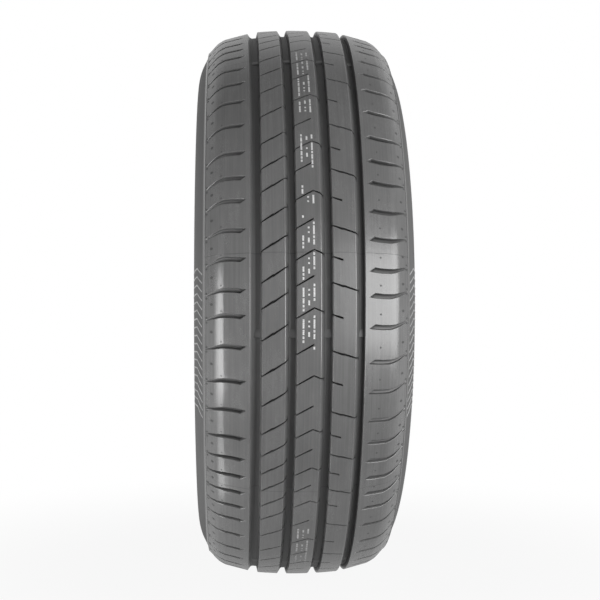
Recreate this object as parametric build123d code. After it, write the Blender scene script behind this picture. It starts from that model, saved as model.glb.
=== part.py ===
"""Car tyre: one moulded rubber ring with a ribbed tread, two sidewalls and two beads."""

import math
import os

from build123d import *

# Sizes are in millimetres and angles in degrees. The origin is the tyre's centre, +Y runs
# along the axle and +Z is up. Points of the section are (axial, radius). Angles round the
# tyre start at +X and grow towards +Z.

# Tyre on its measuring rim
OUTSIDE_DIAMETER = 763.1
SECTION_WIDTH = 265.0
RIM_DIAMETER = 482.6
RIM_WIDTH = 203.2

# Crown and shoulders
CROWN_RADIUS = 600.0  # of the tread, across its width
SHOULDER_WIDTH = 240.0  # between the two edges where tread meets sidewall
SHOULDER_DROP = 38.5  # of those edges below the crown
LAND_STEP = 1.1  # of a shoulder's inner edge below the crown's curve
LAND_WIDTH = 196.0  # between the outer ends of the two shoulder lands
LAND_DROP = 13.5  # of those ends below the crown
FLANK_WIDTH = 236.6  # between the ridges where the two flanks end
FLANK_DROP = 31.8  # of those ridges below the crown

# Casing
TREAD_THICKNESS = 18.0
SIDEWALL_THICKNESS = 7.0  # at its widest part, where it is thinnest
WIDEST_HEIGHT = 28.0  # of the flat at the sidewall's widest part
WIDEST_RISE = 6.0  # of that flat's middle above the middle of the sidewall
LINER_CORNER = 42.0  # from the shoulder edge in to the end of the flat inner crown
SHOULDER_THICKNESS = 20.0  # below the outer end of a shoulder land
LINER_REACH = 6.0  # of the liner's shoulder corner past that end

# Beads
BEAD_WIDTH = 22.0
HEEL_HEIGHT = 11.0  # of the face that bears on the rim's flange
HEEL_CHAMFER = 6.0
SEAT_TAPER = 5.0
TOE_LAND = 5.0  # width of the round land at the bead's inner edge
TOE_HEIGHT = 8.0

# Circumferential grooves, from left to right
GROOVE_CENTRES = (-59.6, -18.9, 22.2, 60.4)
GROOVE_WIDTHS = (12.4, 11.4, 11.6, 9.0)  # at the tread surface
GROOVE_DEPTH = 8.0
GROOVE_DRAFT = 1.2  # lean of each wall, over the depth

# Pitches: each letter is one repeat of the pattern, in one of five lengths
PITCH_SHARES = {"a": 6.4, "b": 7.2, "c": 8.3, "d": 8.8, "e": 10.0}
PITCH_SEQUENCE = "aaccdeecbdcdbdeddbaaaa" + "deddcedbeddecedeedcdedbeedcdeddceddebdeecded"
FIRST_PITCH = 65.4  # angle of the first pitch's left slot
SIDE_LEAD = 4.0  # arc from a left slot's tip to its pitch's straight side

# Shoulder slots, as arcs along the tread from the slot's inner tip
SLOT_LAND = 5.3  # between groove and tip
SLOT_NOSE = 6.6  # axial length of the slanted inner end
SLOT_CORNER = -4.7
SLOT_UPPER_BREAK = 1.8
SLOT_LOWER_BREAK = -3.4
SLOT_END = -7.5
SLOT_DEPTH = 6.0
RIGHT_SLOT_PHASE = 3.13  # angle from a left slot's tip to the right one's

# Sipes across the three middle ribs, as arcs from the left slot's tip
SIPE_WIDTH = 1.6
SIPE_DEPTH = 6.0
SIPE_OVERRUN = 2.4  # past a groove's edge, further than its wall leans
LEFT_RIB_SIPE = (6.7, 25.3)
CENTRE_RIB_SIPE = (33.5, 45.3, 41.0)  # at its left end, its peak and its right end
CENTRE_PEAK = 6.9  # axial place of the peak
RIGHT_RIB_SIPE = (37.3, 28.4)
SHORT_SIPE_SHARE = 0.44  # of the right rib's width, in every other pitch

CUTTER_ROOM = 4.0  # that cutters stand clear of the surfaces they cut

outside_radius = OUTSIDE_DIAMETER / 2
rim_radius = RIM_DIAMETER / 2
groove_edges = [(c - w / 2, c + w / 2) for c, w in zip(GROOVE_CENTRES, GROOVE_WIDTHS)]

# Sketches of the section have axial as X and radius as Y, on the tyre's +X side
SECTION_PLANE = Plane(origin=(0, 0, 0), x_dir=(0, 1, 0), z_dir=(0, 0, -1))


def crown(axial):
    """Radius of the tread surface between the outer grooves."""
    return outside_radius - CROWN_RADIUS + math.sqrt(CROWN_RADIUS**2 - axial**2)


def shoulder(groove_edge):
    """Corners of the shoulder's three flats outside a groove's edge, at positive axial places."""
    return [
        Vector(abs(groove_edge), crown(groove_edge) - LAND_STEP),
        Vector(LAND_WIDTH / 2, outside_radius - LAND_DROP),
        Vector(FLANK_WIDTH / 2, outside_radius - FLANK_DROP),
        Vector(SHOULDER_WIDTH / 2, outside_radius - SHOULDER_DROP),
    ]


def side(groove_edge):
    """Corners of one half of the section, from the shoulder down to the bead and up the liner."""
    flats = [(corner.X, corner.Y) for corner in shoulder(groove_edge)]
    edge, edge_radius = flats[-1]
    heel, toe = RIM_WIDTH / 2, RIM_WIDTH / 2 - BEAD_WIDTH
    bead_bottom = rim_radius - CUTTER_ROOM
    widest = SECTION_WIDTH / 2
    middle = (edge_radius + rim_radius + HEEL_HEIGHT) / 2 + WIDEST_RISE
    top, bottom = middle + WIDEST_HEIGHT / 2, middle - WIDEST_HEIGHT / 2
    outer = [(widest, top), (widest, bottom), (heel, rim_radius + HEEL_HEIGHT), (heel, bead_bottom)]
    liner = [
        (toe, bead_bottom),
        (toe, rim_radius + TOE_HEIGHT),
        (widest - SIDEWALL_THICKNESS, middle),
        (LAND_WIDTH / 2 + LINER_REACH, outside_radius - LAND_DROP - SHOULDER_THICKNESS),
        (edge - LINER_CORNER, outside_radius - TREAD_THICKNESS),
    ]
    return flats + outer + liner


def section():
    """Closed outline of the whole section, from the left groove round by the right side."""
    tread = []
    for left, right in groove_edges:
        tread += [
            (left, crown(left)),
            (left + GROOVE_DRAFT, crown(left) - GROOVE_DEPTH),
            (right - GROOVE_DRAFT, crown(right) - GROOVE_DEPTH),
            (right, crown(right)),
        ]
    left_side = [(-axial, radius) for axial, radius in side(groove_edges[0][0])]
    return tread[1:-1] + side(groove_edges[-1][1]) + left_side[::-1]


def pitch_angles():
    """Angle of the left slot's tip in each pitch, down the front of the tyre."""
    shares = [PITCH_SHARES[letter] for letter in PITCH_SEQUENCE]
    step = 360 / sum(shares)
    return [FIRST_PITCH - step * sum(shares[:i]) for i in range(len(shares))]


def on_ring(radius, angle):
    turn = math.radians(angle)
    return Vector(radius * math.cos(turn), 0, radius * math.sin(turn))


def ring():
    """The section swept round the tyre, with one straight side and a mitre to each pitch."""
    corners = [angle + math.degrees(SIDE_LEAD / outside_radius) for angle in pitch_angles()]
    first, second = (on_ring(outside_radius, angle) for angle in corners[:2])
    start = (first + second) / 2
    path = Wire.make_polygon([start] + [on_ring(outside_radius, a) for a in corners[1:] + corners[:1]])
    lowered = start - on_ring(outside_radius, (corners[0] + corners[1]) / 2)
    turned = Plane(origin=lowered, x_dir=(0, 1, 0), z_dir=second - first)
    outline = turned * make_face(Polyline(*section(), close=True))
    return sweep(outline, path=path, transition=Transition.RIGHT)


def bore():
    """Round cutter that leaves each bead its chamfered heel, tapered seat and toe land."""
    heel = RIM_WIDTH / 2
    seat = heel - HEEL_CHAMFER
    land = heel - BEAD_WIDTH + TOE_LAND
    land_radius = rim_radius - (seat - land) * math.tan(math.radians(SEAT_TAPER))
    half = [
        (land, land_radius),
        (seat, rim_radius),
        (heel, rim_radius + HEEL_CHAMFER),
        (heel + CUTTER_ROOM, rim_radius + HEEL_CHAMFER),
        (heel + CUTTER_ROOM, 0),
    ]
    outline = half + [(-axial, radius) for axial, radius in half[::-1]]
    return revolve(SECTION_PLANE * make_face(Polyline(*outline, close=True)), Axis.Y)


def slot():
    """Cutter of a left shoulder slot, with its tip at angle 0."""
    edge = groove_edges[0][0]
    corners = shoulder(edge)
    tip = -edge + SLOT_LAND
    plan = [
        (-tip, 0),
        (-corners[1].X, SLOT_UPPER_BREAK),
        (-corners[2].X, SLOT_END),
        (-corners[1].X, SLOT_LOWER_BREAK),
        (-tip - SLOT_NOSE, SLOT_CORNER),
    ]
    lowest = corners[2].Y - SLOT_DEPTH
    tread_plane = Plane(origin=(lowest, 0, 0), x_dir=(0, 1, 0), z_dir=(1, 0, 0))
    column = extrude(tread_plane * make_face(Polyline(*plan, close=True)), outside_radius - lowest)
    floor = [
        (-corners[0].X, corners[0].Y - SLOT_DEPTH),
        (-corners[1].X, corners[1].Y - SLOT_DEPTH),
        (-corners[2].X, corners[2].Y),
        (-corners[2].X, outside_radius),
        (-corners[0].X, outside_radius),
    ]
    room = SECTION_PLANE * make_face(Polyline(*floor, close=True))
    return column & extrude(room, 2 * SLOT_NOSE, both=True)


def at_angle(shape, angle):
    return shape.rotate(Axis.Y, -angle)


def past(inner, edge):
    """The (axial, arc) point where the line from inner through a groove's edge ends in the groove."""
    share = 1 + SIPE_OVERRUN / abs(edge[0] - inner[0])
    return [i + share * (e - i) for i, e in zip(inner, edge)]


def sipe(points):
    """Wedge cutter along a line of (axial, arc) points, mitred where the line turns."""
    middle = (points[0][1] + points[-1][1]) / 2
    line = [Vector(crown(axial), axial, arc - middle) for axial, arc in points]
    along = line[1] - line[0]
    top = SIPE_WIDTH / 2 * (1 + CUTTER_ROOM / SIPE_DEPTH)
    wedge = Polyline((-top, CUTTER_ROOM), (top, CUTTER_ROOM), (0, -SIPE_DEPTH), close=True)
    across = Plane(origin=line[0], x_dir=Vector(1, 0, 0).cross(along), z_dir=along)
    cutter = sweep(across * make_face(wedge), path=Polyline(*line), transition=Transition.RIGHT)
    return at_angle(cutter, math.degrees(middle / outside_radius))


def sipes():
    """Cutters of the middle ribs' sipes for a pitch at angle 0, in even and in odd pitches."""
    left_rib, centre_rib, right_rib = (
        (left[1], right[0]) for left, right in zip(groove_edges, groove_edges[1:])
    )
    left_start, left_end = zip(left_rib, LEFT_RIB_SIPE)
    centre_start, peak, centre_end = zip((centre_rib[0], CENTRE_PEAK, centre_rib[1]), CENTRE_RIB_SIPE)
    right_start, right_end = zip(right_rib, RIGHT_RIB_SIPE)
    short_end = [s + SHORT_SIPE_SHARE * (e - s) for s, e in zip(right_start, right_end)]
    left = sipe([past(left_end, left_start), past(left_start, left_end)])
    kinked = sipe([past(peak, centre_start), peak, past(peak, centre_end)])
    plain = sipe([past(peak, centre_start), peak])
    short = sipe([past(right_end, right_start), short_end])
    long = sipe([past(right_end, right_start), past(right_start, right_end)])
    return [left, kinked, short], [left, plain, long]


def pattern():
    """Cutters of the whole tread pattern."""
    left_slot = slot()
    right_slot = left_slot.rotate(Axis.X, 180)
    even, odd = sipes()
    cutters = []
    for i, angle in enumerate(pitch_angles()):
        cutters += [at_angle(left_slot, angle), at_angle(right_slot, angle + RIGHT_SLOT_PHASE)]
        cutters += [at_angle(cutter, angle) for cutter in (odd if i % 2 else even)]
    return cutters


tyre = ring().cut(bore(), *pattern())

os.makedirs("parts", exist_ok=True)
export_step(tyre, "parts/tyre.step")
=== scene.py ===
"""A car tyre standing upright in a white studio, in the frame of its solid model."""

import math

import bmesh
import bpy
from mathutils import Matrix, Vector
from mathutils.geometry import delaunay_2d_cdt


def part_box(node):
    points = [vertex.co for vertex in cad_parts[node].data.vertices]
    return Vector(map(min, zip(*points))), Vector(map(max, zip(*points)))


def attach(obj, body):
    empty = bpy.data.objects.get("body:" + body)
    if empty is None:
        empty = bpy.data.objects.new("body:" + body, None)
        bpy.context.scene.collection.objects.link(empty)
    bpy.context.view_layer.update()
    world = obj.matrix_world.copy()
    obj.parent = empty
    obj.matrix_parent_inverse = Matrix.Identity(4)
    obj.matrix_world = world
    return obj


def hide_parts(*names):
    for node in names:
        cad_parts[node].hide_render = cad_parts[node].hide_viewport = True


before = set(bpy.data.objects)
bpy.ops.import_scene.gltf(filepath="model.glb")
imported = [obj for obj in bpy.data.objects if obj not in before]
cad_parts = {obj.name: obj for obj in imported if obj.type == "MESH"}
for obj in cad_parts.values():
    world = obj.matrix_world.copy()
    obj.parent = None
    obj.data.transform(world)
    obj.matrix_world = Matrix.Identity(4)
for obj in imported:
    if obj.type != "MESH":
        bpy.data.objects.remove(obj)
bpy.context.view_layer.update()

# Moulded tyre. One ring of black rubber, cured in a mould whose segments shape the tread and whose
# side plates shape the sidewalls. Its beads are made to seat on a wheel rim.

# Sizes are in millimetres and angles in degrees. A place on the ring is (axial, radius, angle),
# and arcs run along the tread's crown, upwards on the side that faces +X.
MM = 0.001
solid_low, solid_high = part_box("tyre")
OUTSIDE_RADIUS = (solid_high.z - solid_low.z) / 2 / MM
HALF_WIDTH = (solid_high.y - solid_low.y) / 2 / MM

CROWN_RADIUS = 600.0
CROWN_EDGE = 62.0  # where the crown's curve gives way to the shoulders, inside the outer grooves
LAND_START = (65.3, OUTSIDE_RADIUS - 4.7)
LAND_SLOPE = 15.0
BEVEL_START = 96.4  # end of the land, where a flat bevel begins
BEVEL_SLOPE = 28.0
SHOULDER_ROUND = 24.0  # radius between the bevel and the shoulder's flank
FLANK_SLOPE = 47.5
RIDGE = (118.3, OUTSIDE_RADIUS - 31.8)  # foot of the flank
SHOULDER_EDGE = (120.0, OUTSIDE_RADIUS - 38.5)
TREAD_EDGE = 117.6  # where the tread's pattern ends and the sidewall begins

GROOVES = ((-65.8, -52.4), (-25.7, -12.7), (15.4, 28.6), (55.1, 65.7))  # left and right edges
GROOVE_DEPTH = 8.0
SIPE_DEPTH = 5.5
# A groove's left and right wall as (lean, depth): chamfer, edge, sipes' bottom and the two ends of
# the bottom corner
WALLS = {
    1: ((-0.8, 0.0), (0.0, 0.45), (3.0, SIPE_DEPTH), (4.2, 7.2), (6.0, GROOVE_DEPTH)),
    -1: ((-0.4, 0.0), (0.0, 0.4), (1.2, SIPE_DEPTH), (1.6, 7.4), (2.2, GROOVE_DEPTH)),
}

PITCH_SHARES = {"a": 6.4, "b": 7.2, "c": 8.3, "d": 8.8, "e": 10.0}  # lengths, to scale with each other
# Down the front and then round the back
PITCH_SEQUENCE = "aaccdeecbdcdbdeddbaaaa" + "deddcedbeddecedeedcdedbeedcdeddceddebdeecded"
FIRST_PITCH = 65.4  # angle of the first left slot's tip
PITCH_CUTS = (-13.0, 2.5, 26.0, 19.4, 9.0)  # arc from a slot's tip to its pitch's lower end, by rib
SEGMENTS = 6  # steps along a pitch
RIB_COLUMNS = 4  # parts into which the mesh cuts a rib's width
SHOULDER_COLUMNS = (5, 1, 2, 2, 3)  # on the land, its edge, the bevel, the round and the flank
EDGE_HALF = 0.4  # half the width of the land's edge

# Shoulder slot as (axial, upper edge, lower edge, depth), arcs from its tip
SLOT = (
    (-117.0, -6.6, -8.2, 0.8),
    (-114.0, -5.0, -7.3, 1.9),
    (-109.5, -2.7, -6.0, 3.2),
    (-105.0, -0.6, -4.8, 4.4),
    (-100.0, 1.0, -3.5, 5.2),
    (-95.5, 2.0, -3.3, 5.5),
    (-87.0, 1.9, -3.5, 5.5),
    (-82.0, 1.5, -4.0, 5.5),
    (-77.2, 1.0, -4.7, 5.5),
    (-73.9, 0.6, -2.3, 5.5),
    (-70.6, 0.0, 0.0, 5.5),
)
RIGHT_SLOT_ARC = 20.8  # from the left slot's tip to the right one's, which is turned half round
SLOT_DRAFT = 0.45  # lean of a slot's sides, and of a sipe's blind end
SLOT_RISE = 0.8  # depth at the upper side of its floor, as a share of that at the lower side
SLOT_CHAMFER = 0.45

# Sipes as (axial, arc, half opening), arcs from the left slot's tip
LEFT_SIPE = ((-52.4, 7.4, 0.8), (-40.6, 15.3, 1.4), (-38.8, 15.7, 1.25), (-25.7, 24.6, 0.8))
CENTRE_SIPE = ((-12.7, 33.8, 0.8), (4.0, 43.6, 1.05), (6.9, 45.2, 0.85))
KINKED_SIPE = CENTRE_SIPE + ((15.4, 41.5, 0.95),)
SHORT_SIPE = ((28.6, 37.1, 0.85), (35.0, 35.0, 1.2), (40.2, 33.4, 1.1))
LONG_SIPE = ((28.6, 37.1, 0.85), (39.2, 33.3, 1.3), (41.6, 33.2, 1.2), (55.1, 28.7, 0.95))
SIPE_TAPER = 0.85  # of the opening, at the bottom
CLEAR = 1.4  # between a recess and the nearest free point of the mesh
SAME_PLACE = 1e-6  # axial places nearer than this are one
SAME_POINT = 1e-5  # and so are points of the triangulation
INSIDE = 1  # kind of triangulation that stays within its outline
# Painted shade in the recesses, kept in the mesh's shade attribute, that darkens the rubber's colour
GROOVE_SHADE = 0.46  # painted shade, by which the bottoms are darker
SIPE_SHADE = 0.8
SLOT_SHADE = (0.25, 0.8)  # at the upper and lower side of its floor
SLOT_FULL = 2.2  # depth from which a slot has its full shade


def crown(axial):
    return OUTSIDE_RADIUS - CROWN_RADIUS + math.sqrt(CROWN_RADIUS**2 - axial**2)


land_fall, bevel_fall, flank_fall = (
    math.tan(math.radians(slope)) for slope in (LAND_SLOPE, BEVEL_SLOPE, FLANK_SLOPE)
)
land_foot = LAND_START[1] + LAND_START[0] * land_fall
bevel_foot = land_foot + BEVEL_START * (bevel_fall - land_fall)
flank_foot = RIDGE[1] + RIDGE[0] * flank_fall
corner = (flank_foot - bevel_foot) / (flank_fall - bevel_fall)
bevel_turn, flank_turn = math.radians(BEVEL_SLOPE), math.radians(FLANK_SLOPE)
round_reach = SHOULDER_ROUND * math.tan((flank_turn - bevel_turn) / 2)
round_start = corner - round_reach * math.cos(bevel_turn)
round_end = corner + round_reach * math.cos(flank_turn)
round_middle = (
    round_start - SHOULDER_ROUND * math.sin(bevel_turn),
    bevel_foot - round_start * bevel_fall - SHOULDER_ROUND * math.cos(bevel_turn),
)


def tread_radius(axial):
    """Radius of the tread's surface, grooves and slots apart."""
    axial = abs(axial)
    if axial < CROWN_EDGE:
        return crown(axial)
    if axial < BEVEL_START:
        return land_foot - axial * land_fall
    if axial < round_start:
        return bevel_foot - axial * bevel_fall
    if axial < round_end:
        return round_middle[1] + math.sqrt(SHOULDER_ROUND**2 - (axial - round_middle[0]) ** 2)
    return flank_foot - axial * flank_fall


def on_ring(axial, radius, angle):
    turn = math.radians(angle)
    return radius * math.cos(turn) * MM, axial * MM, radius * math.sin(turn) * MM


def arc_angle(arc):
    return math.degrees(arc / OUTSIDE_RADIUS)


def between(place, rows):
    """The rows' other values at a place along their first, on straight lines from row to row."""
    rows = sorted(rows)
    place = min(max(place, rows[0][0]), rows[-1][0])
    for low, high in zip(rows, rows[1:]):
        if place <= high[0]:
            share = (place - low[0]) / (high[0] - low[0])
            return [a + share * (b - a) for a, b in zip(low[1:], high[1:])]


groove_stations = {}
for left, right in GROOVES:
    for edge, out in ((left, 1), (right, -1)):
        groove_stations.update({edge + out * lean: depth for lean, depth in WALLS[out]})

rib_edges = [-TREAD_EDGE] + [edge for groove in GROOVES for edge in groove] + [TREAD_EDGE]
cut_rows = [(edge, PITCH_CUTS[i // 2]) for i, edge in enumerate(rib_edges)]


def pitch_cut(axial):
    """Arc from a left slot's tip to the lower end of its pitch, at a place across the tread."""
    return between(axial, cut_rows)[0]


def spaced(start, end, count):
    """Places that cut a stretch into a count of equal parts."""
    return [start + (end - start) * k / count for k in range(1, count)]


def columns():
    """Axial places between the ribs' edges where the mesh has free points."""
    places = []
    for start, end in zip(rib_edges[2:-2:2], rib_edges[3:-2:2]):
        places += spaced(start, end, RIB_COLUMNS)
    for sign, edge in ((-1, -rib_edges[1]), (1, rib_edges[-2])):
        bevel = (BEVEL_START - EDGE_HALF, BEVEL_START + EDGE_HALF)
        stops = (edge, *bevel, round_start, round_end, TREAD_EDGE)
        places += [sign * stop for stop in stops[1:-1]]
        for start, end, count in zip(stops, stops[1:], SHOULDER_COLUMNS):
            places += [sign * place for place in spaced(start, end, count)]
    return places


def slot_recess(sign, tip):
    """Rows of (axial, middle arc, half opening, depth, floor's upper and lower arc) for a slot."""
    rows = []
    for axial, upper, lower, depth in SLOT:
        half = (upper - lower) / 2
        draft = min(SLOT_DRAFT, half / 2)
        arcs = [tip + sign * arc for arc in ((upper + lower) / 2, upper - draft, lower + draft)]
        rows.append((sign * axial, arcs[0], half, depth, *arcs[1:]))
    return sorted(rows)


def sipe_recess(line):
    """Rows of (axial, arc, half opening, half floor, depth) for a sipe, measured along its rib.

    The line gives the half opening across the sipe.
    """
    rows = []
    for i, (axial, arc, half) in enumerate(line):
        before, after = line[max(i - 1, 0)], line[min(i + 1, len(line) - 1)]
        slope = (after[1] - before[1]) / (after[0] - before[0])
        tall = half * math.hypot(1, slope)
        rows.append((axial, arc, tall, tall * SIPE_TAPER, SIPE_DEPTH))
    return rows


def in_recess(axial, arc, recess, clear):
    if not recess[0][0] - clear < axial < recess[-1][0] + clear:
        return False
    middle, half = between(axial, recess)[:2]
    return abs(arc - middle) < half + clear


def tile(length, kinked):
    """One pitch of the tread, unrolled: points of (axial, arc, depth, shade) and their triangles."""
    points, edges, breaks = [], [], {}

    def point(axial, arc, depth, shade=0.0):
        points.append((axial, arc, depth, shade))
        return len(points) - 1

    def join(row):
        edges.extend(zip(row, row[1:]))

    def ring(upper, lower):
        """Closes an outline whose two sides may share their end points."""
        join(upper)
        join(lower)
        edges.extend((a, b) for a, b in ((upper[0], lower[0]), (upper[-1], lower[-1])) if a != b)

    def pair(axial, middle, half, depth, shade=0.0):
        """Points on both sides of a recess, or one where it comes to a tip."""
        high = point(axial, middle + half, depth, shade)
        return (high, point(axial, middle - half, depth, shade)) if half > 0 else (high, high)

    def slot(recess):
        """Cuts a closed recess with a floor whose ends stand off from the opening's."""
        brim = []
        for axial, middle, half, *_ in recess:
            out = SLOT_CHAMFER * ((axial == recess[-1][0]) - (axial == recess[0][0]))
            brim.append((axial + out, middle, half + SLOT_CHAMFER if half > 0 else 0.0))
        for rows, depth in ((brim, 0.0), (recess, SLOT_CHAMFER)):
            opening = [pair(*row[:3], depth) for row in rows]
            ring([p[0] for p in opening], [p[1] for p in opening])
        ends = (recess[0][0] + SLOT_DRAFT, recess[-1][0] - SLOT_DRAFT)
        inner = [ends[0]] + [row[0] for row in recess[1:-1]] + [ends[1]]
        rows = [(axial, *between(axial, recess)) for axial in inner]
        floor_sides = []
        # The floor's painted shade, darker at its lower side and where it is deeper
        for k, share, full in ((4, SLOT_RISE, SLOT_SHADE[0]), (5, 1.0, SLOT_SHADE[1])):
            side = []
            for row in rows:
                depth = row[3]
                shade = full * min(depth / SLOT_FULL, 1.0)
                side.append(point(row[0], row[k], depth * share, shade))
            floor_sides.append(side)
        ring(*floor_sides)

    def sipe(recess):
        """Cuts a narrow recess that runs out through the groove at each end that meets one."""
        mouths = {}
        for groove in GROOVES:
            for edge, out in ((groove[0], 1), (groove[1], -1)):
                met = [row[0] for row in recess if abs(row[0] - edge) < SAME_PLACE]
                mouths.update({axial: (edge, out) for axial in met})
        places = [row[0] for row in recess]
        for edge, out in mouths.values():
            places.append(edge + out * WALLS[out][0][0])
        opening, floors = [], []
        for axial in sorted(places):
            middle, half, floor, depth = between(axial, recess)
            mouth = mouths.get(axial)
            opening.append(pair(axial, middle, half, WALLS[mouth[1]][1][1] if mouth else 0.0))
            if axial in groove_stations:
                breaks.setdefault(axial, []).append((*opening[-1], True))
            if mouth:
                edge, out = mouth
                lean = WALLS[out][2][0]
                middle += (middle - between(axial - out, recess)[0]) * lean
                axial = edge + out * lean
                floors.append(pair(axial, middle, floor, depth, SIPE_SHADE))
                breaks.setdefault(axial, []).append((*floors[-1], False))
            elif axial not in groove_stations:
                inset = SLOT_DRAFT * ((axial == min(places)) - (axial == max(places)))
                middle, _, floor, depth = between(axial + inset, recess)
                floors.append(pair(axial + inset, middle, floor, depth, SIPE_SHADE))
        for side in (0, 1):
            join([p[side] for p in opening])
            join([p[side] for p in floors])
        for end in (0, -1):
            axial = points[opening[end][0]][0]
            if axial in mouths:
                edges.extend(zip(opening[end], floors[end]))
            else:
                edges.append(opening[end])
                edges.append(floors[end])

    left_slot, right_slot = slot_recess(1, 0.0), slot_recess(-1, RIGHT_SLOT_ARC)
    lines = (LEFT_SIPE, KINKED_SIPE, SHORT_SIPE) if kinked else (LEFT_SIPE, CENTRE_SIPE, LONG_SIPE)
    sipes = [sipe_recess(line) for line in lines]
    slot(left_slot)
    slot(right_slot)
    for recess in sipes:
        sipe(recess)
    recesses = [left_slot, right_slot] + sipes

    lower, upper = [], []
    stations = {-TREAD_EDGE: 0.0, TREAD_EDGE: 0.0, **groove_stations}
    for axial in sorted(list(stations) + columns()):
        depth = stations.get(axial, 0.0)
        # Painted shade down a groove's walls, darker with depth
        shade = GROOVE_SHADE * depth / GROOVE_DEPTH
        start = pitch_cut(axial)
        steps = [start + length * k / SEGMENTS for k in range(SEGMENTS + 1)]
        ends = [point(axial, arc, depth, shade) for arc in (steps[0], steps[-1])]
        lower.append(ends[0])
        upper.append(ends[1])
        if axial not in stations:
            for arc in steps[1:-1]:
                if not any(in_recess(axial, arc, recess, CLEAR) for recess in recesses):
                    point(axial, arc, depth)
            continue
        # A line along a groove is broken where a sipe cuts through it
        marks = breaks.get(axial, [])
        row = list(ends)
        gaps = set()
        for high, low, gap in marks:
            row += [low, high]
            if gap:
                gaps.add((low, high))
        for arc in steps[1:-1]:
            near = [points[low][1] - CLEAR < arc < points[high][1] + CLEAR for high, low, _ in marks]
            if not any(near):
                row.append(point(axial, arc, depth, shade))
        row.sort(key=lambda index: points[index][1])
        edges.extend(step for step in zip(row, row[1:]) if step not in gaps)
    join(lower)
    join(upper)

    flat = [Vector(p[:2]) for p in points]
    _, _, faces, origins, _, _ = delaunay_2d_cdt(flat, edges, [], INSIDE, SAME_POINT, True)
    points = [points[origin[0]] for origin in origins]
    kept = []
    for face in faces:
        axial, arc = (sum(points[index][k] for index in face) / 3 for k in (0, 1))
        if 0 < arc - pitch_cut(axial) < length:
            kept.append(face)
    return points, kept


def pitches():
    """(angle of the left slot's tip, length of the pitch above it, whether its sipes are kinked)."""
    shares = [PITCH_SHARES[letter] for letter in PITCH_SEQUENCE]
    step = 360 / sum(shares)
    rows = []
    for i in range(len(shares)):
        tip = FIRST_PITCH - step * sum(shares[:i])
        rows.append((tip, math.radians(step * shares[i - 1]) * OUTSIDE_RADIUS, i % 2 == 0))
    return rows


def tread(vertices, faces, shades):
    """Adds every pitch of the tread to a mesh's lists."""
    tiles = {}
    for tip, length, kinked in pitches():
        kind = (round(length, 3), kinked)
        if kind not in tiles:
            tiles[kind] = tile(length, kinked)
        points, triangles = tiles[kind]
        first = len(vertices)
        for axial, arc, depth, shade in points:
            vertices.append(on_ring(axial, tread_radius(axial) - depth, tip + arc_angle(arc)))
            shades.append(shade)
        faces.extend([first + index for index in triangle] for triangle in triangles)


# Sidewall, bead and liner of the +Y side, as (axial, radius). The other side is their mirror image.
WIDEST_RADIUS = 304.0
RIDGE_LINE = ((-0.4, 0.4), (0.2, 0.5), (0.6, -0.7))  # a fine rib's foot, top and edge, from the ridge
BAND_EDGES = (340.0, 300.0)  # radii that border the sidewall's sunken band
BAND_DEPTH = 0.5
BAND_FADE = 0.6  # width of the slope at its edges
BAND_STEPS = 10
LOWER_STEPS = 6
RIM_LINES = (266.5, 262.0)  # radii of the fine ribs above the bead
RIM_LINE_HALF = 0.9
RIM_LINE = ((1.0, 0.0), (0.5, 0.6), (-0.5, 0.6), (-1.0, 0.0))  # (share of the half width, rise)
HEEL = (101.6, 252.3)
HEEL_BASE = 241.3
HEEL_RADIUS = 6.0
HEEL_STEPS = 5
SEAT_END = (84.6, 240.34)
TOE = (79.6, 240.34)
TOE_CHAMFER = 1.0
LINER = (
    (79.6, 249.0), (84.5, 256.0), (104.0, 275.0), (121.0, 297.0), (125.0, 309.0), (121.5, 325.0),
    (110.0, 344.0), (92.0, 358.0), (70.0, 362.5), (45.0, 363.2), (20.0, 363.5), (0.0, 363.5),
)
LINER_STEPS = 2
WELD = 0.002  # points nearer than this become one
TYRE_CREASE = 22.0


def sidewall(radius):
    """Axial place of the sidewall's surface at a radius, its fine relief apart."""
    end = SHOULDER_EDGE if radius >= WIDEST_RADIUS else HEEL
    share = (radius - WIDEST_RADIUS) / (end[1] - WIDEST_RADIUS)
    return HALF_WIDTH - (HALF_WIDTH - end[0]) * share**2


def curve(points, steps):
    """A smooth line through points, with the same number of steps from each to the next."""
    points = [Vector(point) for point in points]
    line = []
    for i, (start, end) in enumerate(zip(points, points[1:])):
        before, after = points[max(i - 1, 0)], points[min(i + 2, len(points) - 1)]
        for t in (step / steps for step in range(steps)):
            place = start * (2 * t**3 - 3 * t**2 + 1) + end * (3 * t**2 - 2 * t**3)
            bend = (end - before) * (t**3 - 2 * t**2 + t) / 2 + (after - start) * (t**3 - t**2) / 2
            line.append(tuple(place + bend))
    return line + [tuple(points[-1])]


def side_section():
    """The line from the tread's edge, round the bead, to the middle of the liner."""
    line = [(TREAD_EDGE, tread_radius(TREAD_EDGE))]
    line += [(RIDGE[0] + out, RIDGE[1] + rise) for out, rise in RIDGE_LINE]
    line.append(SHOULDER_EDGE)

    high, low = BAND_EDGES
    line.append((sidewall(high + BAND_FADE), high + BAND_FADE))
    for k in range(BAND_STEPS + 1):
        radius = high + (low - high) * k / BAND_STEPS
        line.append((sidewall(radius) - BAND_DEPTH, radius))
    start, end = low - BAND_FADE, RIM_LINES[0] + 2 * RIM_LINE_HALF
    for k in range(LOWER_STEPS + 1):
        radius = start + (end - start) * k / LOWER_STEPS
        line.append((sidewall(radius), radius))
    for middle in RIM_LINES:
        for share, rise in RIM_LINE:
            radius = middle + share * RIM_LINE_HALF
            line.append((sidewall(radius) + rise, radius))
    line.append(HEEL)

    for k in range(HEEL_STEPS + 1):
        turn = math.pi / 2 * k / HEEL_STEPS
        axial = HEEL[0] - HEEL_RADIUS + HEEL_RADIUS * math.cos(turn)
        line.append((axial, HEEL_BASE + HEEL_RADIUS - HEEL_RADIUS * math.sin(turn)))
    line += [SEAT_END, (TOE[0] + TOE_CHAMFER, TOE[1]), (TOE[0], TOE[1] + TOE_CHAMFER)]
    return line + curve(LINER, LINER_STEPS)


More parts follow.
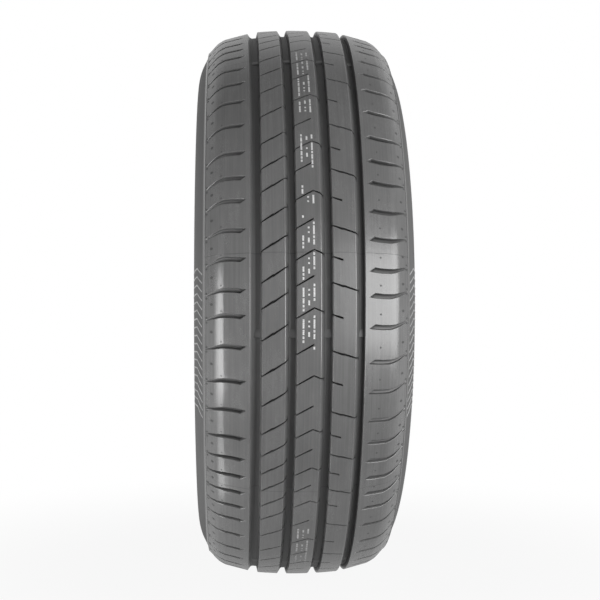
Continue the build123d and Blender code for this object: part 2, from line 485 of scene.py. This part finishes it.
def sides(vertices, faces):
    """Adds the rings from the tread's right edge, round the inside, to its left edge."""
    right = side_section()
    section = right + [(-axial, radius) for axial, radius in reversed(right[:-1])]
    middle, spread = len(right) - 1, LINER_STEPS * (len(LINER) - 1)
    rows = list(reversed(pitches()))
    around = SEGMENTS * len(rows)
    first = len(vertices)
    for j, (axial, radius) in enumerate(section):
        share = min(max((j - middle + spread) / (2 * spread), 0.0), 1.0)
        cut = PITCH_CUTS[-1] + (PITCH_CUTS[0] - PITCH_CUTS[-1]) * share
        for tip, length, _ in rows:
            arcs = [cut + length * k / SEGMENTS for k in range(SEGMENTS)]
            vertices.extend(on_ring(axial, radius, tip + arc_angle(arc)) for arc in arcs)
    for j in range(len(section) - 1):
        row = first + j * around
        for k in range(around):
            here, above = row + k, row + (k + 1) % around
            faces.append([here, here + around, above + around, above])


def piece(name, vertices, faces, crease, shades=()):
    """Makes a welded mesh that is smooth except at edges sharper than the crease angle.

    Painted shades go with the first vertices, and the rest have none.
    """
    mesh = bpy.data.meshes.new(name)
    mesh.from_pydata(vertices, [], faces)
    if shades:
        rest = [0.0] * (len(vertices) - len(shades))
        mesh.attributes.new("shade", "FLOAT", "POINT").data.foreach_set("value", shades + rest)
    work = bmesh.new()
    work.from_mesh(mesh)
    bmesh.ops.remove_doubles(work, verts=work.verts, dist=WELD * MM)
    bmesh.ops.recalc_face_normals(work, faces=work.faces)
    work.to_mesh(mesh)
    work.free()
    mesh.shade_smooth()
    mesh.set_sharp_from_angle(angle=math.radians(crease))
    made = bpy.data.objects.new(name, mesh)
    bpy.context.scene.collection.objects.link(made)
    return made


class Wire:
    """An output of a material's nodes. Arithmetic on it adds Math nodes."""

    def __init__(self, tree, socket=None):
        self.tree = tree
        self.socket = socket

    def node(self, kind, inputs, output=0, **settings):
        """Adds a node: its settings first, then a value or a link for each input."""
        made = self.tree.nodes.new(kind)
        for name, value in settings.items():
            setattr(made, name, value)
        for name, value in inputs.items():
            if isinstance(value, Wire):
                self.tree.links.new(value.socket, made.inputs[name])
            else:
                made.inputs[name].default_value = value
        return Wire(self.tree, made.outputs[output] if made.outputs else None)

    def math(self, operation, first, second=0.0):
        return self.node("ShaderNodeMath", {0: first, 1: second}, operation=operation)

    def __add__(self, other):
        return self.math("ADD", self, other)

    def __sub__(self, other):
        return self.math("SUBTRACT", self, other)

    def __mul__(self, other):
        return self.math("MULTIPLY", self, other)

    def __truediv__(self, other):
        return self.math("DIVIDE", self, other)

    def __radd__(self, other):
        return self.math("ADD", other, self)

    def __rsub__(self, other):
        return self.math("SUBTRACT", other, self)

    def __rmul__(self, other):
        return self.math("MULTIPLY", other, self)

    def __rtruediv__(self, other):
        return self.math("DIVIDE", other, self)

    def parts(self):
        """The three parts of this vector."""
        return [self.node("ShaderNodeSeparateXYZ", {0: self}, output=k) for k in range(3)]

    def vector(self, x, y, z):
        """The vector of three parts."""
        return self.node("ShaderNodeCombineXYZ", {0: x, 1: y, 2: z})

    def rise(self, low, high):
        """0 up to low and 1 from high on, smooth between."""
        inputs = {"Value": self, "From Min": low, "From Max": high}
        return self.node("ShaderNodeMapRange", inputs, interpolation_type="SMOOTHSTEP")

    def mix(self, first, second):
        """The grey or colour between two others at this share."""
        inputs = {0: self, 6: first, 7: second}
        return self.node("ShaderNodeMix", inputs, output=2, data_type="RGBA")

    def noise(self, scale, detail=2.0, roughness=0.5):
        """Seedless noise from 0 to 1 at this vector."""
        inputs = {"Vector": self, "Scale": scale, "Detail": detail, "Roughness": roughness}
        return self.node("ShaderNodeTexNoise", inputs)


def material(name, surface):
    """A material whose shader is what the surface function adds to its nodes."""
    made = bpy.data.materials.new(name)
    made.use_nodes = True
    made.node_tree.nodes.clear()
    start = Wire(made.node_tree)
    start.node("ShaderNodeOutputMaterial", {"Surface": surface(start)})
    return made


def grey(value):
    return value, value, value, 1.0


RUBBER_DARK = 0.102
RUBBER_PALE = 0.145
RUBBER_GLOSS = 0.8
SIDE_SHADE = 0.42  # by which the sidewalls are darker
JOINT_SHADE = 0.3  # by which the mould's joints are darker
JOINT_EDGES = (0.2, 0.7)  # from a joint's middle, between which it fades out
MOULD_JOINT = 9.33  # angle of a joint between two segments of the mould
MOULD_SEGMENTS = 8
JOINT_HEIGHT = 0.5
SIDE_MATT = (339.0, 344.0)  # radii between the matt sidewall and the tread's gloss
# Streaks, patches and grain: noise as (scale, detail, roughness), the share of the arc that draws
# it out round the ring, its span from dark to pale, and its shares of the tone and of the height
STREAK_NOISE = (0.55, 3.0)
STREAK_STRETCH = 0.012
STREAK_SPAN = (0.3, 0.7)
STREAK_SHARE = 0.45
STREAK_HEIGHT = 0.5
PATCH_NOISE = (0.035, 3.0, 0.6)
PATCH_STRETCH = 0.4
PATCH_SPAN = (0.3, 0.7)
PATCH_SHARE = 0.35
GRAIN_NOISE = (1.6, 2.0, 0.6)
GRAIN_SPAN = (0.25, 0.75)
GRAIN_SHARE = 0.2
GRAIN_HEIGHT = 0.25
BUMP_STRENGTH = 0.35
BUMP_DISTANCE = 0.4 * MM
TREAD_ROUGHNESS = 0.18  # to which patches, grain, sidewalls and recesses add
PATCH_ROUGHNESS = 0.1
GRAIN_ROUGHNESS = 0.06
SIDE_ROUGHNESS = 0.4
RECESS_ROUGHNESS = 0.8


def unrolled(start):
    """Object coordinates as axial, arc and radius in millimetres, and the angle in degrees."""
    place = start.node("ShaderNodeTexCoord", {}, output="Object")
    x, y, z = (part / MM for part in place.parts())
    angle = start.math("ARCTAN2", z, x) * math.degrees(1)
    radius = start.math("SQRT", x * x + z * z)
    return y, angle * math.radians(OUTSIDE_RADIUS), radius, angle


def rubber_surface(start):
    """Satin rubber with drawn streaks round the ring, a fine grain, dusty patches and mould joints."""
    axial, arc, radius, angle = unrolled(start)
    streaks = start.vector(axial, arc * STREAK_STRETCH, radius).noise(*STREAK_NOISE)
    patches = start.vector(axial, arc * PATCH_STRETCH, radius).noise(*PATCH_NOISE)
    grain = start.vector(axial, arc, radius).noise(*GRAIN_NOISE)
    turn = start.math("FRACT", (angle - MOULD_JOINT) * MOULD_SEGMENTS / 360 + 0.5) - 0.5
    segment = 2 * math.pi * OUTSIDE_RADIUS / MOULD_SEGMENTS
    side = 1.0 - radius.rise(*SIDE_MATT)
    joint = (1.0 - side) * (1.0 - (start.math("ABSOLUTE", turn) * segment).rise(*JOINT_EDGES))
    tone = streaks.rise(*STREAK_SPAN) * STREAK_SHARE + patches.rise(*PATCH_SPAN) * PATCH_SHARE
    tone = tone + grain.rise(*GRAIN_SPAN) * GRAIN_SHARE
    height = streaks * STREAK_HEIGHT + grain * GRAIN_HEIGHT + joint * JOINT_HEIGHT
    bump = {"Strength": BUMP_STRENGTH, "Distance": BUMP_DISTANCE, "Height": height}
    # Painted shade in the grooves, slots and sipes and on the wear bars
    recess = start.node("ShaderNodeAttribute", {}, output="Fac", attribute_name="shade")
    shade = side * SIDE_SHADE + joint * JOINT_SHADE + recess
    matt = TREAD_ROUGHNESS + patches * PATCH_ROUGHNESS + grain * GRAIN_ROUGHNESS
    inputs = {
        "Base Color": shade.mix(tone.mix(grey(RUBBER_DARK), grey(RUBBER_PALE)), grey(0.0)),
        "Roughness": matt + side * SIDE_ROUGHNESS + recess * RECESS_ROUGHNESS,
        "Specular IOR Level": RUBBER_GLOSS,
        "Normal": start.node("ShaderNodeBump", bump),
    }
    return start.node("ShaderNodeBsdfPrincipled", inputs)


tyre_vertices, tyre_faces, tyre_shades = [], [], []
tread(tyre_vertices, tyre_faces, tyre_shades)
sides(tyre_vertices, tyre_faces)
tyre = piece("tyre", tyre_vertices, tyre_faces, TYRE_CREASE, tyre_shades)
rubber = material("rubber", rubber_surface)
tyre.data.materials.append(rubber)
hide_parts("tyre")
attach(tyre, "root")


# Wear bars. Low bridges of the same rubber across each groove, moulded with the tread, six times
# round the ring. The tread is worn out when it is level with them.

WEAR_BARS = 6
FIRST_WEAR_BAR = -5.05  # angle
WEAR_BAR_STEPS = ((-4.0, 8.3), (-2.8, 6.4), (2.6, 6.4), (8.0, 8.3))  # (arc, depth of the bar's top)
WEAR_BAR_BASE = 9.0  # depth of its foot
WEAR_BAR_BITE = 0.35  # by which its ends are sunk in the groove's walls
# Painted shade on the bars, like that of the groove bottoms they stand in
WEAR_BAR_SHADE = 0.36
WEAR_BAR_CREASE = 32.0


def bar(vertices, faces, sections):
    """Adds a closed bar through sections that have their corners in the same order."""
    first, corners = len(vertices), len(sections[0])
    for section in sections:
        vertices.extend(section)
    for row in range(first, first + corners * (len(sections) - 1), corners):
        for k in range(corners):
            here, beside = row + k, row + (k + 1) % corners
            faces.append([here, beside, beside + corners, here + corners])
    last = len(vertices) - corners
    faces.append(list(range(first, first + corners)))
    faces.append(list(range(last, last + corners)))


bar_vertices, bar_faces = [], []
for k in range(WEAR_BARS):
    turn = FIRST_WEAR_BAR + 360 / WEAR_BARS * k
    for left, right in GROOVES:
        steps = []
        for arc, depth in WEAR_BAR_STEPS:
            tops, feet = [], []
            for edge, out in ((left, 1), (right, -1)):
                lean = between(depth, [(down, across) for across, down in WALLS[out]])[0]
                base = WALLS[out][-1][0]
                tops.append((edge + out * (lean - WEAR_BAR_BITE), depth))
                feet.append((edge + out * (base - WEAR_BAR_BITE), WEAR_BAR_BASE))
            spots = tops + feet[::-1]
            steps.append([on_ring(a, tread_radius(a) - d, turn + arc_angle(arc)) for a, d in spots])
        bar(bar_vertices, bar_faces, steps)
bar_shades = [WEAR_BAR_SHADE] * len(bar_vertices)
wear_bars = piece("wear_bars", bar_vertices, bar_faces, WEAR_BAR_CREASE, bar_shades)
wear_bars.data.materials.append(rubber)
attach(wear_bars, "root")


# Sidewall relief. Stacks of thin raised chevrons in the sunken band of each sidewall, engraved in
# the mould's side plates. Each ridge is a low bar of the same rubber, its foot sunk in the wall,
# coloured paler as a painted highlight.

RELIEF_STACKS = ((7.7, -22.0), (187.7, 158.0))  # first and last angle of each stack
RELIEF_PITCH = 1.72  # angle from one chevron to the next
RELIEF_LINE = (  # (radius, arc from the apex)
    (339.6, -9.0), (333.5, -4.6), (327.4, 0.0), (319.0, -1.6), (311.0, -3.0), (302.0, -4.4),
)
RELIEF_HALF = (1.1, 0.65)  # half width at the foot and at the top
RELIEF_SINK = 0.3
RELIEF_TOP = 0.1  # below the sidewall's full width
RELIEF_CREASE = 20.0
# Paler than the tyre's rubber: a painted highlight on the ridges
RELIEF_TONES = (0.225, 0.36)
RELIEF_NOISE = (0.4, 3.0, 0.6)
RELIEF_SPAN = (0.3, 0.7)
RELIEF_ROUGHNESS = 0.3
RELIEF_NOISE_ROUGHNESS = 0.15


def relief(vertices, faces, sign, turn):
    """Adds one chevron with its apex at an angle on the sidewall of one side."""
    steps = []
    for radius, arc in RELIEF_LINE:
        angle = turn + math.degrees(arc / radius)
        floor = sidewall(radius) - BAND_DEPTH - RELIEF_SINK
        top = sidewall(radius) - RELIEF_TOP
        foot_half, top_half = RELIEF_HALF
        spots = ((floor, -foot_half), (top, -top_half), (top, top_half), (floor, foot_half))
        steps.append([on_ring(sign * a, radius, angle + math.degrees(w / radius)) for a, w in spots])
    bar(vertices, faces, steps)


relief_vertices, relief_faces = [], []
for start, end in RELIEF_STACKS:
    for k in range(int((start - end) / RELIEF_PITCH) + 1):
        for sign in (-1, 1):
            relief(relief_vertices, relief_faces, sign, start - k * RELIEF_PITCH)
sidewall_relief = piece("sidewall_relief", relief_vertices, relief_faces, RELIEF_CREASE)


def relief_surface(start):
    """The same rubber, smoother, and paler as a painted highlight on the ridges, in uneven patches."""
    relief_patches = start.vector(*unrolled(start)[:3]).noise(*RELIEF_NOISE)
    dark, pale = (grey(tone) for tone in RELIEF_TONES)
    inputs = {
        "Base Color": relief_patches.rise(*RELIEF_SPAN).mix(dark, pale),
        "Roughness": RELIEF_ROUGHNESS + relief_patches * RELIEF_NOISE_ROUGHNESS,
    }
    return start.node("ShaderNodeBsdfPrincipled", inputs)


sidewall_relief.data.materials.append(material("painted_highlight_rubber", relief_surface))
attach(sidewall_relief, "root")


# Vent marks. Small round stubs of cut-off rubber on the shoulders, where the mould let its air out.
# They are part of the moulding, and their dark colour is painted shade.

VENTS = (  # (axial, arc from the left slot's tip, share of the pitch added to it, radius)
    (-110.4, 0.0, 0.41, 1.7),
    (-99.4, 4.6, 0.0, 0.9),
    (-116.2, -4.4, 0.0, 1.3),
    (-116.2, -10.6, 0.0, 1.3),
    (83.8, RIGHT_SLOT_ARC, 0.45, 1.1),
    (111.2, RIGHT_SLOT_ARC, 0.55, 1.6),
    (116.2, RIGHT_SLOT_ARC + 4.4, 0.0, 1.2),
    (116.2, RIGHT_SLOT_ARC + 10.6, 0.0, 1.2),
)
VENT_RINGS = ((1.0, -0.5), (1.0, 0.02), (0.55, 0.14))  # (share of the radius, height over the tread)
VENT_SIDES = 10
VENT_CREASE = 32.0
# Dark tones: painted shade on the stubs
VENT_TONES = (0.0315, 0.063)
VENT_NOISE = (2.2, 2.0)
VENT_ROUGHNESS = 0.55
VENT_NOISE_ROUGHNESS = 0.3

vent_vertices, vent_faces = [], []
for tip, length, _ in pitches():
    for axial, arc, share, reach in VENTS:
        middle = arc + share * length
        rings = []
        for size, height in VENT_RINGS:
            spots = []
            for k in range(VENT_SIDES):
                turn = 2 * math.pi * k / VENT_SIDES
                across, along = size * reach * math.cos(turn), size * reach * math.sin(turn)
                spots.append((axial + across, middle + along))
            rings.append([on_ring(a, tread_radius(a) + height, tip + arc_angle(s)) for a, s in spots])
        bar(vent_vertices, vent_faces, rings)
vent_marks = piece("vent_marks", vent_vertices, vent_faces, VENT_CREASE)


def vent_surface(start):
    """Rubber darker than the moulded skin as painted shade, and uneven."""
    vent_patches = start.vector(*unrolled(start)[:3]).noise(*VENT_NOISE)
    dark, pale = (grey(tone) for tone in VENT_TONES)
    inputs = {
        "Base Color": vent_patches.mix(dark, pale),
        "Roughness": VENT_ROUGHNESS + vent_patches * VENT_NOISE_ROUGHNESS,
    }
    return start.node("ShaderNodeBsdfPrincipled", inputs)


vent_marks.data.materials.append(material("painted_shade_rubber", vent_surface))
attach(vent_marks, "root")


# Ink marks. Pale marking ink along the middle rib, printed before the tyre leaves the works: plain
# dashes and ticks, a thin film that is worn in places.

INK_RUNS = ((57.0, 36.0), (32.1, 23.6), (21.6, 17.8), (16.0, -9.2), (-46.2, -62.8))  # angles
INK_CELL = 12.0  # arc after which the next of the patterns below begins
INK_FILM = (0.05, -0.15)  # heights of the film's top and foot over the rubber
INK_LEFT = (-6.6, -4.6)  # axial edges of the three lines of dashes
INK_MIDDLE = (-0.2, 1.8)
INK_RIGHT = (5.8, 7.8)
INK_MARKS = (  # (line, arc start, arc end), three cells in turn
    ((INK_LEFT, 0.5, 6.5), (INK_LEFT, 8.0, 11.0), (INK_MIDDLE, 3.0, 8.5), (INK_RIGHT, 0.5, 3.5),
     (INK_RIGHT, 5.0, 11.0)),
    ((INK_LEFT, 0.5, 11.0), (INK_MIDDLE, 2.0, 4.0), (INK_MIDDLE, 7.5, 9.5), (INK_RIGHT, 0.5, 11.0)),
    ((INK_LEFT, 0.5, 3.5), (INK_LEFT, 5.0, 11.0), (INK_MIDDLE, 3.0, 8.5), (INK_RIGHT, 0.5, 6.5),
     (INK_RIGHT, 8.0, 11.0)),
)
INK_CLEAR = 0.8  # between a dash and a sipe
INK_CREASE = 32.0
INK_TONES = (0.3575, 0.65)
INK_WEAR_NOISE = (0.8, 3.0, 0.6)
INK_WEAR_SPAN = (0.3, 0.6)
INK_ROUGHNESS = 0.7
INK_WEAR_ROUGHNESS = 0.15

ink_vertices, ink_faces = [], []
centre_sipes = []
for tip, _, kinked in pitches():
    centre_sipes.append((tip, sipe_recess(KINKED_SIPE if kinked else CENTRE_SIPE)))
for start, end in INK_RUNS:
    cells = int((start - end) / arc_angle(INK_CELL))
    for k in range(cells):
        cell = start - (k + 1) * arc_angle(INK_CELL)
        for (left, right), low, high in INK_MARKS[k % len(INK_MARKS)]:
            corners = [(a, s) for a in (left, right) for s in (low, high)]
            crossed = False
            for tip, recess in centre_sipes:
                shift = math.radians(cell - tip) * OUTSIDE_RADIUS
                crossed = crossed or any(in_recess(a, shift + s, recess, INK_CLEAR) for a, s in corners)
            if crossed:
                continue
            top, foot = INK_FILM
            steps = []
            for arc in (low, high):
                row = ((left, top), (right, top), (right, foot), (left, foot))
                steps.append([on_ring(a, tread_radius(a) + h, cell + arc_angle(arc)) for a, h in row])
            bar(ink_vertices, ink_faces, steps)
ink_marks = piece("ink_marks", ink_vertices, ink_faces, INK_CREASE)


def ink_surface(start):
    """Matt pale ink, thin and patchy on the rubber's grain."""
    wear = start.vector(*unrolled(start)[:3]).noise(*INK_WEAR_NOISE)
    thin, full = (grey(tone) for tone in INK_TONES)
    inputs = {
        "Base Color": wear.rise(*INK_WEAR_SPAN).mix(thin, full),
        "Roughness": INK_ROUGHNESS + wear * INK_WEAR_ROUGHNESS,
    }
    return start.node("ShaderNodeBsdfPrincipled", inputs)


ink_marks.data.materials.append(material("marking_ink", ink_surface))
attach(ink_marks, "root")


# Studio floor. A plain pale sheet under the tyre, which takes its shadow. It is shown to the camera
# and to gloss as lit white, more so further from the tyre, where it goes over into the white room.

FLOOR_HALF = 6.0  # metres
FLOOR_CORNERS = ((-1, -1), (1, -1), (1, 1), (-1, 1))
FLOOR_CREASE = 32.0
FLOOR_TONE = 0.3
SHADOW_REACH = (0.25, 0.9)  # metres from the tyre's foot, in which its shade fades out
SHADOW_SHARE = 0.08  # of the paper's own light and shade there, as shown to the camera
FRONT = (0.3, 0.45)  # metres in front of the axle, past which gloss shows the paper as it is
GLOSS_SHARE = 0.6  # of the studio's white that gloss is shown

floor_height = -OUTSIDE_RADIUS * MM
sheet = [(x * FLOOR_HALF, y * FLOOR_HALF, floor_height) for x, y in FLOOR_CORNERS]
floor = piece("floor", sheet, [[0, 1, 2, 3]], FLOOR_CREASE)


def white_share(start, to_camera, to_gloss):
    """How much of the studio's white a ray is shown: the camera's, or one of gloss or clear things."""
    kinds = ("Is Camera Ray", "Is Glossy Ray", "Is Transmission Ray")
    camera, gloss, clear = (start.node("ShaderNodeLightPath", {}, output=kind) for kind in kinds)
    return camera * to_camera + start.math("MAXIMUM", gloss, clear) * to_gloss


def floor_surface(start):
    """Matt paper whose shade shows near the tyre."""
    place = start.node("ShaderNodeTexCoord", {}, output="Object")
    x, y, _ = place.parts()
    shade = 1.0 - start.math("SQRT", x * x + y * y).rise(*SHADOW_REACH)
    white = start.node("ShaderNodeEmission", {"Color": grey(1.0), "Strength": 1.0})
    paper = start.node("ShaderNodeBsdfDiffuse", {"Color": grey(FLOOR_TONE)})
    share = white_share(start, 1.0 - shade * SHADOW_SHARE, (1.0 - x.rise(*FRONT)) * GLOSS_SHARE)
    return start.node("ShaderNodeMixShader", {0: share, 1: paper, 2: white})


floor.data.materials.append(material("floor_paper", floor_surface))


# Studio light. A wide softbox on the right with a weak fill beside it, a narrow one on the left that
# leans back from the floor, with a dim wing and a low strip beside it, and a plain room with a white
# wall behind the tyre.

ROOM_LEVEL = 0.32
WALL_FADE = (0.3, 0.7)  # towards the back, where gloss shows the white wall
FACE_WATTS = 4.0  # for each square metre of a lamp's face, at a brightness of 1
# (name, both ends of its lower edge in plan, heights of foot and head, how far it leans back,
# brightness of its face), in metres
LAMPS = (
    ("softbox_right", (1.24, 0.55), (0.56, 1.264), -0.36, 0.43, 0.0, 4.3),
    ("fill_right", (1.55, 0.25), (1.25, 0.54), -0.36, 0.55, 0.0, 1.6),
    ("softbox_left", (0.49, -0.53), (0.69, -0.40), -0.37, 0.18, 0.45, 5.6),
    ("wing_left", (0.36, -0.615), (0.48, -0.537), -0.37, 0.10, 0.38, 2.6),
    ("floor_strip_left", (0.31, -0.15), (0.60, -0.498), -0.375, -0.375, 0.10, 2.4),
)

world = bpy.data.worlds.new("studio")
bpy.context.scene.world = world
world.use_nodes = True
world.node_tree.nodes.clear()
room = Wire(world.node_tree)
ahead = room.node("ShaderNodeTexCoord", {}, output="Generated")
behind = (0.0 - ahead.parts()[0]).rise(*WALL_FADE)
dim, white = (room.node("ShaderNodeBackground", {"Color": grey(level), "Strength": 1.0})
              for level in (ROOM_LEVEL, 1.0))
share = white_share(room, 1.0, behind * GLOSS_SHARE)
shown = room.node("ShaderNodeMixShader", {0: share, 1: dim, 2: white})
room.node("ShaderNodeOutputWorld", {"Surface": shown})

for name, start, end, foot, head, lean, brightness in LAMPS:
    along = Vector((end[0] - start[0], end[1] - start[1], 0.0))
    away = along.cross(Vector((0.0, 0.0, 1.0))).normalized()
    upright = away * lean + Vector((0.0, 0.0, head - foot))
    data = bpy.data.lights.new(name, "AREA")
    data.shape = "RECTANGLE"
    data.size, data.size_y = along.length, upright.length
    data.energy = FACE_WATTS * data.size * data.size_y * brightness
    lamp = bpy.data.objects.new(name, data)
    bpy.context.scene.collection.objects.link(lamp)
    lamp.visible_camera = False
    lamp.location = Vector((*start, foot)) + along / 2 + upright / 2
    along.normalize()
    upright.normalize()
    lamp.rotation_euler = Matrix((along, upright, along.cross(upright))).transposed().to_euler()


# Camera. A long lens, 1.8 m in front of the tread and a little to the left of the tyre's middle
# plane, that looks at the tyre's centre with a slight shift.

CAMERA_PLACE = (1797.9, -83.5, 23.9)
LENS = 75.1
SENSOR_WIDTH = 36.0
SHIFT = (0.0118, 0.0035)

camera_data = bpy.data.cameras.new("camera")
camera_data.lens = LENS
camera_data.sensor_width = SENSOR_WIDTH
camera_data.shift_x, camera_data.shift_y = SHIFT
camera = bpy.data.objects.new("camera", camera_data)
bpy.context.scene.collection.objects.link(camera)
camera.location = Vector(CAMERA_PLACE) * MM
camera.rotation_euler = camera.location.to_track_quat("Z", "Y").to_euler()
bpy.context.scene.camera = camera
bpy.context.scene.view_settings.view_transform = "Standard"
